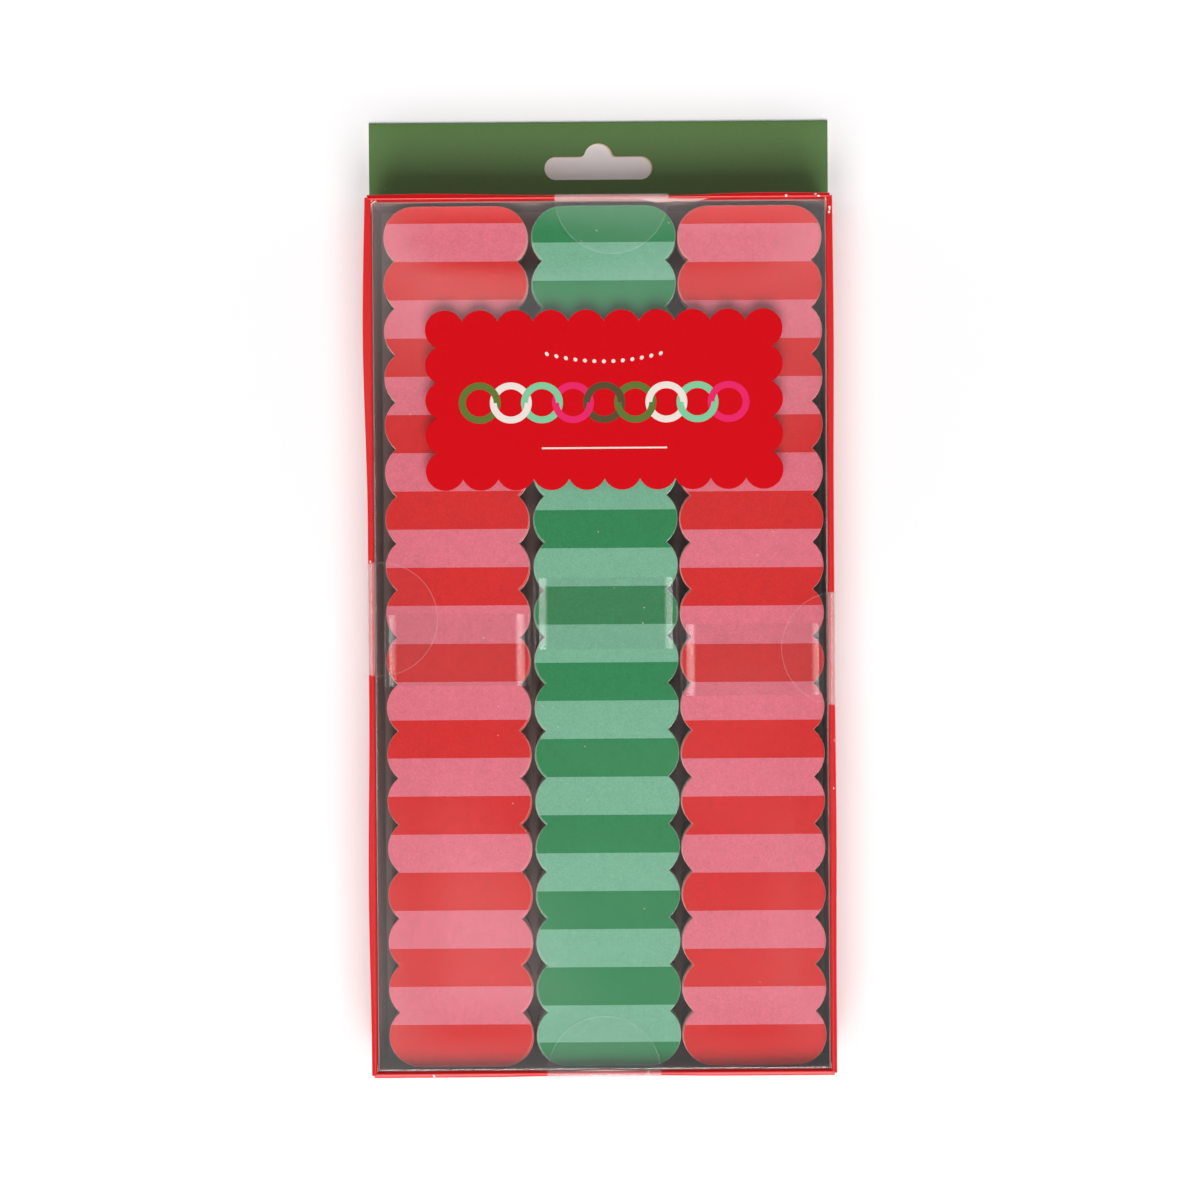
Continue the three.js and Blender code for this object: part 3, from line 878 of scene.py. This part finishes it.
def bulge_walls():
    """The outer panels stand off a little between the corners and the seals."""
    outer_x = BOX_HALF_W - CREASE_R - 0.02 * MM
    outer_y = BOX_HALF_L - CREASE_R - 0.02 * MM
    tab_z = 3 * MM
    pick(lambda p: p.z < tab_z or (abs(p.x) < outer_x and abs(p.y) < outer_y), "VERT")
    bpy.ops.mesh.hide(unselected=False)
    x, y = BOX_HALF_W, BOX_HALF_L
    z = RIM_Z - CREASE_R
    for place, move, reach in (
        ((-x, 80 * MM, z), (-0.95 * MM, 0, 0), 50 * MM),
        ((-x, -66 * MM, z), (-0.5 * MM, 0, 0), 46 * MM),
        ((x, 80 * MM, z), (0.25 * MM, 0, 0), 44 * MM),
        ((x, -50 * MM, z), (0.2 * MM, 0, 0), 42 * MM),
        ((-46 * MM, y, z), (0, 0.55 * MM, 0), 32 * MM),
        ((46 * MM, y, z), (0, 0.35 * MM, 0), 24 * MM),
        ((20 * MM, y, z), (0, -0.25 * MM, 0), 14 * MM),
        ((-2 * MM, -y, z), (0, 0.35 * MM, 0), 34 * MM),
    ):
        nudge(place, move, reach)
    bpy.ops.mesh.reveal(select=False)


def make_tray():
    base_sheet()
    near = 0.01 * MM
    side_x = BOX_HALF_W - FOLD_R
    end_y = BOX_HALF_L - FOLD_R
    for way, lean in ((-1, LEFT_LEAN), (1, 0)):
        pick(lambda p: abs(p.x - way * side_x) < near)
        fold_up(way, 0, lean)
    pick(lambda p: abs(p.y + end_y) < near and p.z < near)
    fold_up(0, -1, 0)
    pick(lambda p: abs(p.y - end_y) < near and p.z < near)
    fold_tab()
    bulge_walls()
    tray = stop_edit("folded_tray")
    dress(tray, RED_PRINT, GREEN_PRINT, BARE_CARD, RAW_EDGE)
    inner_x = BOX_HALF_W - WALL + near
    low_y, high_y = near - BOX_HALF_L + WALL, BOX_HALF_L - TOP_RIM + near
    print_ends = RIM_Z - CREASE_R - PRINT_TURN_IN
    paint(tray, 1, lambda p, n: p.y > BOX_HALF_L + near and p.z < 2 * MM)
    paint(tray, 2, lambda p, n: abs(p.x) < inner_x and low_y - 2 * near < p.y < high_y
          and MM / 2 < p.z < print_ends and abs(n.z) < 0.5)
    apply_modifier(tray, "SOLIDIFY", thickness=CARD, offset=-1, use_even_offset=True,
                   material_offset=2, material_offset_rim=3)
    tray.data.transform(Matrix.Translation((0, BOX_Y, 0)))
    split_z = CARD + TAB_GAP / 2
    for shift, low, high in ((0, split_z, 5 * MM), (BACK_SLOT_SHIFT, -5 * MM, split_z)):
        cutter = slot_cutter(shift, low, high)
        dress(cutter, RAW_EDGE)
        apply_modifier(tray, "BOOLEAN", object=cutter, operation="DIFFERENCE",
                       solver="EXACT", material_mode="TRANSFER")
        bpy.data.objects.remove(cutter)
    webs = [corner_web(right, top, inset) for right in (-1, 1) for top in (-1, 1)
            for inset in (0, 0.55 * MM)]
    for web in webs:
        web.data.transform(Matrix.Translation((0, BOX_Y, 0)))
    tray = join([tray, *webs], "folded_tray")
    smooth(tray)
    set_piece(tray, "printed_card", "tray")
    return tray


# Clear lid: a panel with four skirts, folded from film, and tabs glued inside its corners.

def lid_corner_tab(right, top):
    half_x, half_y = lid_high.x, (lid_high.y - lid_low.y) / 2
    x = (half_x - FILM * 1.6) * right
    y = half_y - FILM * 1.2
    start_outline(x, y * top + BOX_Y, lid_high.z - FILM * 1.5)
    go(0, -LID_TAB * top, 0)
    go(0, 0, LID_TAB - lid_high.z + lid_low.z)
    go(0, LID_TAB * top, -LID_TAB * 0.6)
    close_outline()
    tab = stop_edit("lid_tab")
    apply_modifier(tab, "SOLIDIFY", thickness=FILM, offset=0)
    return tab


def make_lid():
    middle = (lid_low + lid_high) / 2
    deselect()
    bpy.ops.mesh.primitive_cube_add(size=1)
    bpy.ops.object.mode_set(mode="EDIT")
    take_all()
    bpy.ops.transform.resize(value=lid_high - lid_low, center_override=(0, 0, 0))
    bpy.ops.transform.translate(value=middle)
    near = 0.01 * MM
    pick(lambda p: p.z < lid_low.z + near, "FACE")
    bpy.ops.mesh.delete(type="FACE")
    bpy.ops.mesh.select_mode(type="EDGE")
    bpy.ops.mesh.select_all(action="DESELECT")
    mesh = bmesh.from_edit_mesh(bpy.context.edit_object.data)
    for edge in mesh.edges:
        edge.select_set(any(v.co.z > lid_high.z - near for v in edge.verts))
    bmesh.update_edit_mesh(bpy.context.edit_object.data)
    bpy.ops.mesh.bevel(offset=LID_FOLD_R, segments=4, profile=0.5, affect="EDGES")
    rim = LID_FOLD_R + 0.15 * MM
    for low, high, count, way in (
        (lid_low.x, lid_high.x, 24, Vector((1, 0, 0))),
        (lid_low.y, lid_high.y, 46, Vector((0, 1, 0))),
    ):
        cuts = [low + (high - low) * i / count for i in range(1, count)]
        for cut in (low + rim, *cuts, high - rim):
            take_all()
            bpy.ops.mesh.bisect(plane_co=way * cut, plane_no=way, threshold=HAIR)
    lean_left_skirt()
    lid = stop_edit("film_lid")
    ripple_lid(lid)
    apply_modifier(lid, "SOLIDIFY", thickness=FILM, offset=-1, use_even_offset=True)
    tabs = [lid_corner_tab(right, top) for right in (-1, 1) for top in (-1, 1)]
    lid = join([lid, *tabs], "film_lid")
    dress(lid, LID_FILM)
    smooth(lid)
    set_piece(lid, "clear_film", "clear_lid")
    return lid


def lean_left_skirt():
    """The left skirt's foot stands further in, against the leaning inner wall."""
    low = lid_low.z + 0.01 * MM
    foot = LEFT_LEAN * 0.9
    pick(lambda p: p.z < low and p.x < lid_low.x + 0.01 * MM, "VERT")
    bpy.ops.transform.translate(value=(foot, 0, 0))


def ripple_lid(lid):
    """The panel's middle sinks and rises a little, as thin film does, while its edges stay flat."""
    cloud = bpy.data.textures.new("film_ripple", "CLOUDS")
    cloud.noise_scale = 0.055
    cloud.noise_depth = 1
    group = lid.vertex_groups.new(name="panel_middle")
    edge = 16 * MM
    for v in lid.data.vertices:
        inset = min(lid_high.x - abs(v.co.x), v.co.y - lid_low.y, lid_high.y - v.co.y)
        if v.co.z > lid_high.z - LID_FOLD_R / 2:
            group.add([v.index], max(0.0, min(1.0, inset / edge)) ** 2, "REPLACE")
    apply_modifier(lid, "DISPLACE", texture=cloud, vertex_group=group.name, direction="Z",
                   strength=0.9 * MM, mid_level=1.0, texture_coords="LOCAL")
    lid.vertex_groups.clear()


# Paper strips. Every lobe is an arc of one radius, and each end lobe runs on round the corner.

def strip_master(name, soft_edge):
    centre_x = STRIP_W / 2 - LOBE_R
    notch = math.degrees(math.asin(LOBE_PITCH / 2 / LOBE_R))
    middles = [(i - (LOBES - 1) / 2) * LOBE_PITCH for i in range(LOBES)]
    start_outline(centre_x, -STRIP_HALF_L, 0)
    for side in (1, -1):
        for i, y in enumerate(middles):
            at_end = i in (0, LOBES - 1)
            sweep = notch + 90 if at_end else 2 * notch
            steps = round(LOBE_STEPS * 1.5) if at_end else LOBE_STEPS
            turn((side * centre_x, side * y, 0), sweep, steps)
        go(side * (NICK_AT + NICK_W / 2 - centre_x))
        for width in (NICK_W, 2 * NICK_AT - NICK_W, NICK_W):
            reach = NICK_REACH if width == NICK_W else 0
            go(0, side * reach) if reach else None
            go(-side * width)
            go(0, -side * reach) if reach else None
        go(side * (NICK_AT + NICK_W / 2 - centre_x))
    raise_outline(STRIP_T)
    if soft_edge:
        pick(lambda p: p.z > STRIP_T / 2, "FACE")
        bpy.ops.mesh.bevel(offset=soft_edge, segments=1, affect="EDGES")
    return stop_edit(name)


def lay_strip(master, name, paper, x, y, top, degrees):
    """A copy of the strip, laid with its upper face at a height."""
    strip = master.copy()
    strip.data = master.data.copy()
    strip.name = name
    strip.data.name = name
    bpy.context.scene.collection.objects.link(strip)
    place = Matrix.Translation((x, y, top - STRIP_T))
    strip.data.transform(place @ Matrix.Rotation(math.radians(degrees), 4, "Z"))
    dress(strip, PAPERS[paper], PAPER_EDGES[paper.replace("low_", "")])
    paint(strip, 1, lambda p, n: abs(n.z) < 0.9)
    return strip


def lay_pile(master, stack, node, design, lean, chance, slack):
    """All the strips of one block of the pile, each slightly out of line, as one piece."""
    low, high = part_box(node)
    count = round((high.z - low.z) / STRIP_PITCH)
    strips = []
    for i in range(count):
        top = high.z - i * (high.z - low.z - STRIP_T) / (count - 1)
        x = stack["x"] + lean[0] + chance.uniform(-1, 1) * slack
        y = BOX_Y + stack["y"] + lean[1] + chance.uniform(-1, 1) * 2 * slack
        turned = chance.uniform(-1, 1) * 0.05
        strips.append(lay_strip(master, f"{node}_{i}", design, x, y, top, turned))
    pile = join(strips, node.replace("_block", "_pile"))
    set_piece(pile, f"{design}_striped_paper", node)


def make_strips():
    master = strip_master("pile_strip", 0)
    loose = strip_master("loose_strip", 0.07 * MM)
    chance = random.Random(11)
    for stack in STACKS:
        other = "green" if stack["design"] == "red" else "red"
        for i in range(LOOSE_STRIPS):
            node = f"{stack['name']}_strip_{i + 1}"
            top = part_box(node)[1].z
            share = chance.uniform(0.3, 1.2) if i else 0
            x = stack["x"] + stack["slip"][0] * share
            y = BOX_Y + stack["y"] + stack["slip"][1] * share
            turned = chance.uniform(-1, 1) * 0.07
            paper = stack.get("paper", stack["design"])
            strip = lay_strip(loose, f"{stack['name']}_paper_{i + 1}", paper, x, y, top, turned)
            set_piece(strip, f"{stack['design']}_striped_paper", node)
        upper = f"{stack['name']}_strips_upper_block"
        lower = f"{stack['name']}_strips_lower_block"
        lay_pile(master, stack, upper, stack["design"], (0, 0), chance, 0.12 * MM)
        lay_pile(master, stack, lower, other, stack["lean"], chance, 0.1 * MM)
    for unused in (master, loose):
        bpy.data.objects.remove(unused)


# Clear band round each stack, bowed up a little where it leaves the strips' edges.

def make_band(stack):
    low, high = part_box(f"{stack['name']}_band")
    left = stack["x"] - STRIP_W / 2 - stack["spare"][0]
    right = stack["x"] + STRIP_W / 2 + stack["spare"][1]
    bottom = low.z + BAND_T
    top = high.z - BAND_T
    y = BOX_Y + stack["band_y"] - BAND_W / 2
    corner = 0.7 * MM
    ledge = 0.9 * MM
    slope_run = 0.55 * MM
    slopes = (13.5, 12, 10.5, 9, 6, 3)
    ridge = top + BAND_RIDGE
    axis = (0, 1, 0)
    start_outline(right, y, bottom + corner)
    go(0, 0, ridge - bottom - 2 * corner)
    turn((right - corner, y, ridge - corner), -90, 9, axis)
    go(-ledge, 0, 0)
    drop = 0
    for slope in slopes:
        fall = slope_run * math.tan(math.radians(slope))
        go(-slope_run, 0, -fall)
        drop += fall
    sag = ridge - drop - top
    steps = 6
    half = (right - left) / 2 - corner - ledge - slope_run * len(slopes)
    for i in range(2 * steps):
        a, b = i / steps - 1, (i + 1) / steps - 1
        go(-half / steps, 0, sag * (b * b - a * a))
    for slope in reversed(slopes):
        go(-slope_run, 0, slope_run * math.tan(math.radians(slope)))
    go(-ledge, 0, 0)
    turn((left + corner, y, ridge - corner), -90, 9, axis)
    go(0, 0, -(ridge - bottom - 2 * corner))
    turn((left + corner, y, bottom + corner), -90, 9, axis)
    go(right - left - 2 * corner, 0, 0)
    turn((right - corner, y, bottom + corner), -90, 9, axis)
    take_all()
    bpy.ops.mesh.remove_doubles(threshold=0.02 * MM)
    bpy.ops.mesh.select_mode(type="EDGE")
    take_all()
    go(0, BAND_W, 0)
    take_all()
    bpy.ops.mesh.normals_make_consistent(inside=False)
    band = stop_edit(f"{stack['name']}_film_band")
    apply_modifier(band, "SOLIDIFY", thickness=BAND_T, offset=0)
    dress(band, BAND_FILM)
    smooth(band, 12)
    set_piece(band, "clear_band", f"{stack['name']}_band")


# Scalloped label: a ring of round bumps, drawn one after another.

def make_label():
    across, up = LABEL_BUMPS
    middle = (label_low + label_high) / 2
    half_x = (across - 1) / 2 * LABEL_PITCH
    foot_y = label_low.y + LABEL_BUMP_R + 0.15 * MM
    reach = math.sqrt(LABEL_BUMP_R**2 - (LABEL_PITCH / 2) ** 2)
    start_outline(middle.x + half_x - LABEL_PITCH / 2, foot_y - reach, label_low.z)
    x, y = middle.x + half_x, foot_y
    past = math.degrees(math.asin(LABEL_PITCH / 2 / LABEL_BUMP_R))
    for count, step_x, step_y in ((up, 0, 1), (across, -1, 0), (up, 0, -1), (across, 1, 0)):
        pitch = LABEL_PITCH if step_x else LABEL_PITCH_UP
        notch = math.degrees(math.asin(pitch / 2 / LABEL_BUMP_R))
        for i in range(count - 1):
            sweep = 2 * notch if i else past + 90 + notch
            steps = LABEL_STEPS if i else LABEL_STEPS * 2
            turn((x, y, label_low.z), sweep, steps)
            x += step_x * pitch
            y += step_y * pitch
        past = notch
    raise_outline(label_high.z - label_low.z)
    label = stop_edit("scalloped_label")
    dress(label, label_paper())
    set_piece(label, "label_paper", "front_label")


# The seals keep their CAD shape and get their film.

def finish_seals():
    for side in ("left", "right", "top", "bottom"):
        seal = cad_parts[f"{side}_seal"]
        low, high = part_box(f"{side}_seal")
        centre = (low + high) / 2
        if side in ("left", "right"):
            centre.x = high.x - SEAL_R if low.x < 0 else low.x + SEAL_R
        else:
            centre.y = low.y + SEAL_R if side == "top" else high.y - SEAL_R
        dress(seal, seal_film(f"clear_{side}_seal_film", centre))


# Floor, light and camera.

def make_stage():
    deselect()
    bpy.ops.mesh.primitive_plane_add(size=6)
    floor = bpy.context.object
    floor.name = "floor"
    material, tree, shader = new_material("pale_floor", Roughness=0.9)
    shade = noise(tree, object_place(tree), 3, 2)
    tone = blend(tree, shade, (0.9, 0.9, 0.9, 1), (0.93, 0.93, 0.93, 1))
    link(tree, tone, shader.inputs["Base Color"])
    shader.inputs["Specular IOR Level"].default_value = 0.1
    dress(floor, material)


def area_light(name, place, target, width, height, radiance):
    """A soft panel that shines towards a target, its brightness given as seen in a mirror."""
    data = bpy.data.lights.new(name, "AREA")
    data.shape = "RECTANGLE"
    data.size = width
    data.size_y = height
    data.energy = radiance * math.pi * width * height
    light = bpy.data.objects.new(name, data)
    bpy.context.scene.collection.objects.link(light)
    light.location = place
    way = Vector(target) - Vector(place)
    light.rotation_euler = way.to_track_quat("-Z", "Y").to_euler()
    light.visible_camera = False


def sky_patch(tree, place, middle, reach, strength):
    """A soft oval glow overhead, its middle and reach given as slopes to the right and up."""
    z = place[2]
    offsets = []
    for i in range(2):
        off = maths(tree, "SUBTRACT", maths(tree, "DIVIDE", place[i], z), middle[i])
        offsets.append(maths(tree, "DIVIDE", off, reach[i]))
    away = distance(tree, *offsets)
    glow = tree.nodes.new("ShaderNodeMapRange")
    glow.interpolation_type = "SMOOTHSTEP"
    link(tree, away, glow.inputs["Value"])
    glow.inputs["To Min"].default_value = strength
    glow.inputs["To Max"].default_value = 0.0
    above = maths(tree, "GREATER_THAN", z, 0.05)
    return maths(tree, "MULTIPLY", glow.outputs["Result"], above)


def light_studio():
    """A pale tent, dimmer above, with soft glows overhead and a large light from the foot end."""
    world = bpy.data.worlds.new("studio")
    world.use_nodes = True
    tree = world.node_tree
    place = split(tree, tree.nodes.new("ShaderNodeTexCoord").outputs["Generated"])
    back = tree.nodes["Background"]
    back.inputs["Color"].default_value = (1, 1, 1, 1)
    total = remap(tree, place[2], 0.0, 0.45, 0.5, 0.1)
    for middle, reach, strength in (
        ((0, 0.16), (0.3, 0.13), 1.5),
        ((0.02, -0.19), (0.24, 0.16), 0.6),
        ((-0.09, -0.17), (0.12, 0.14), 0.7),
        ((-0.42, -0.02), (0.22, 0.12), 7.0),
        ((0.42, -0.02), (0.22, 0.12), 7.0),
    ):
        total = maths(tree, "ADD", total, sky_patch(tree, place, middle, reach, strength))
    link(tree, total, back.inputs["Strength"])
    bpy.context.scene.world = world
    area_light("main_softbox", (0, -4.45, 6.35), (0, 0.05, 0), 5.75, 5.0, 7.7)
    for name, side in (("left_panel", -1), ("right_panel", 1)):
        area_light(name, (0.9 * side, 0, 0.2), (0, 0, 0), 1.4, 0.4, 1.3)
    scene = bpy.context.scene
    scene.view_settings.view_transform = "Standard"
    scene.view_settings.look = "None"
    scene.cycles.transparent_max_bounces = 32


def set_camera():
    """Looks nearly straight down on the front, from a little above the box's middle."""
    distance = 0.749
    frame_width = 0.3166
    data = bpy.data.cameras.new("camera")
    data.sensor_width = 36
    data.lens = data.sensor_width * distance / frame_width
    camera = bpy.data.objects.new("camera", data)
    bpy.context.scene.collection.objects.link(camera)
    camera.location = (-0.3 * MM, BOX_Y + 18.4 * MM, lid_high.z + distance)
    camera.rotation_euler = (math.radians(-0.673), 0, math.radians(-0.4))
    bpy.context.scene.camera = camera


set_camera()
light_studio()
make_stage()
make_tray()
make_strips()
for one in STACKS:
    make_band(one)
make_lid()
make_label()
finish_seals()
